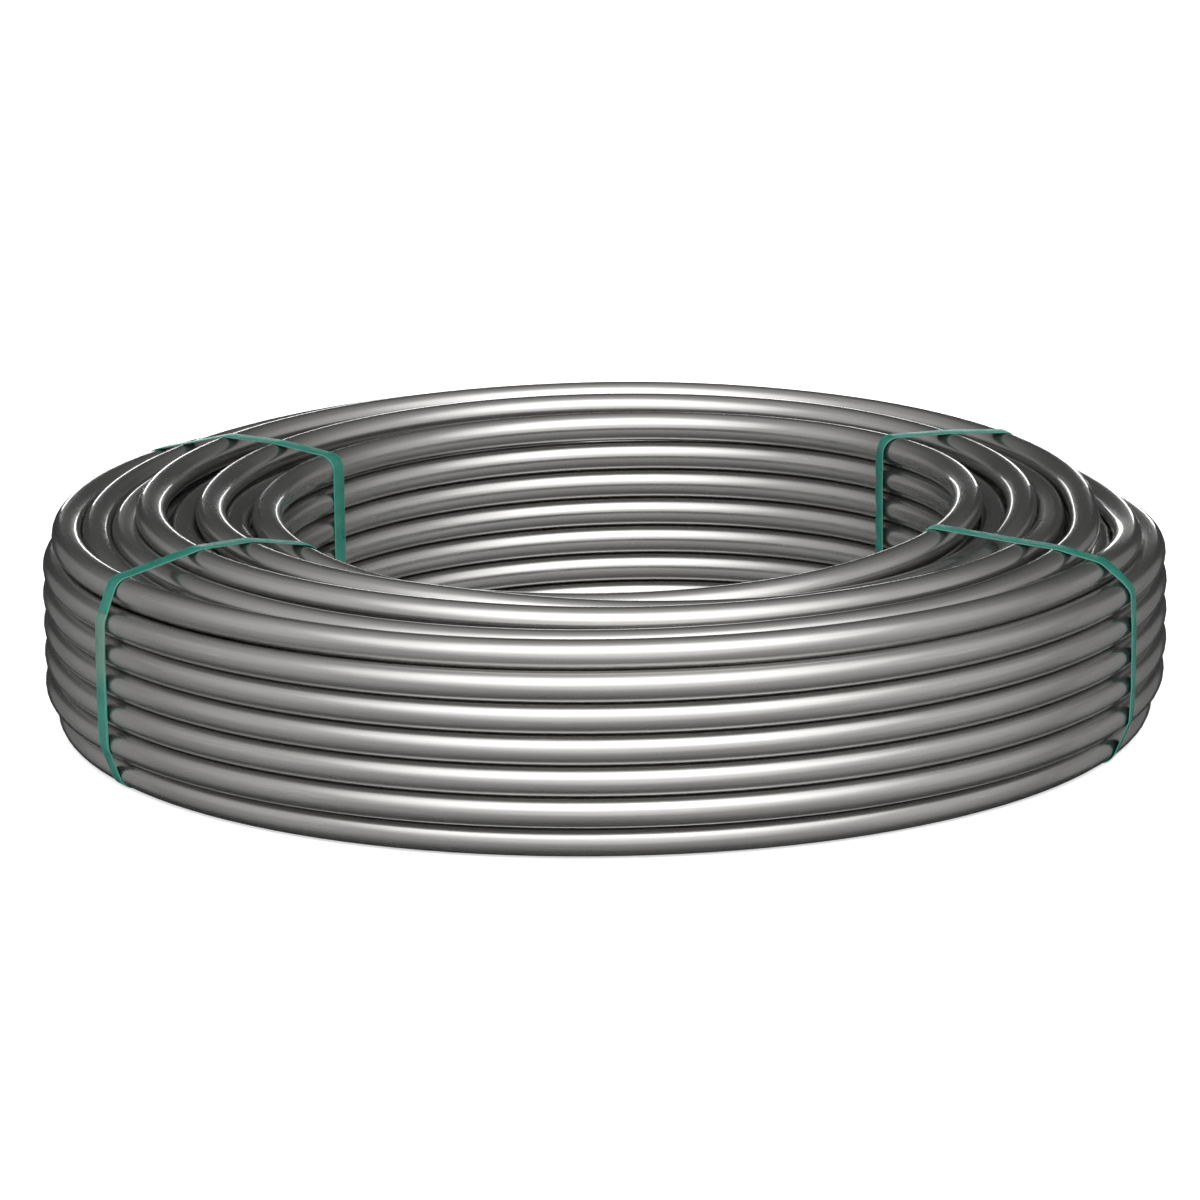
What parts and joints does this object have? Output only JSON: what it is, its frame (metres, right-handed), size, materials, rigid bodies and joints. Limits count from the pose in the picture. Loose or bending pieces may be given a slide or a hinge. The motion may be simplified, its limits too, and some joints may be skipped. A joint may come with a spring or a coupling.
{
  "type": "coil of multilayer pipe",
  "caption": "Flat-lying coil of smooth grey multilayer pipe, wound in nested layers round an open eye and tied with flat green plastic straps.",
  "frame": {"origin": "centre of the coil's underside, on the plane of the straps' lowest faces", "axes": "+Z is the coil's axis and points up, -Y is the front, +X is to the right seen from the front"},
  "size_m": [0.7474, 0.7474, 0.1555],
  "materials": {
    "pipe": "satin to gloss silver-grey polyethylene, smooth",
    "strap": "embossed green polyester strapping, slightly translucent"
  },
  "bodies": {
    "root": {"pipe_coil": "pipe", "strap_front_left": "strap", "strap_front_right": "strap", "strap_rear_left": "strap", "strap_rear_right": "strap"}
  },
  "joints": []
}
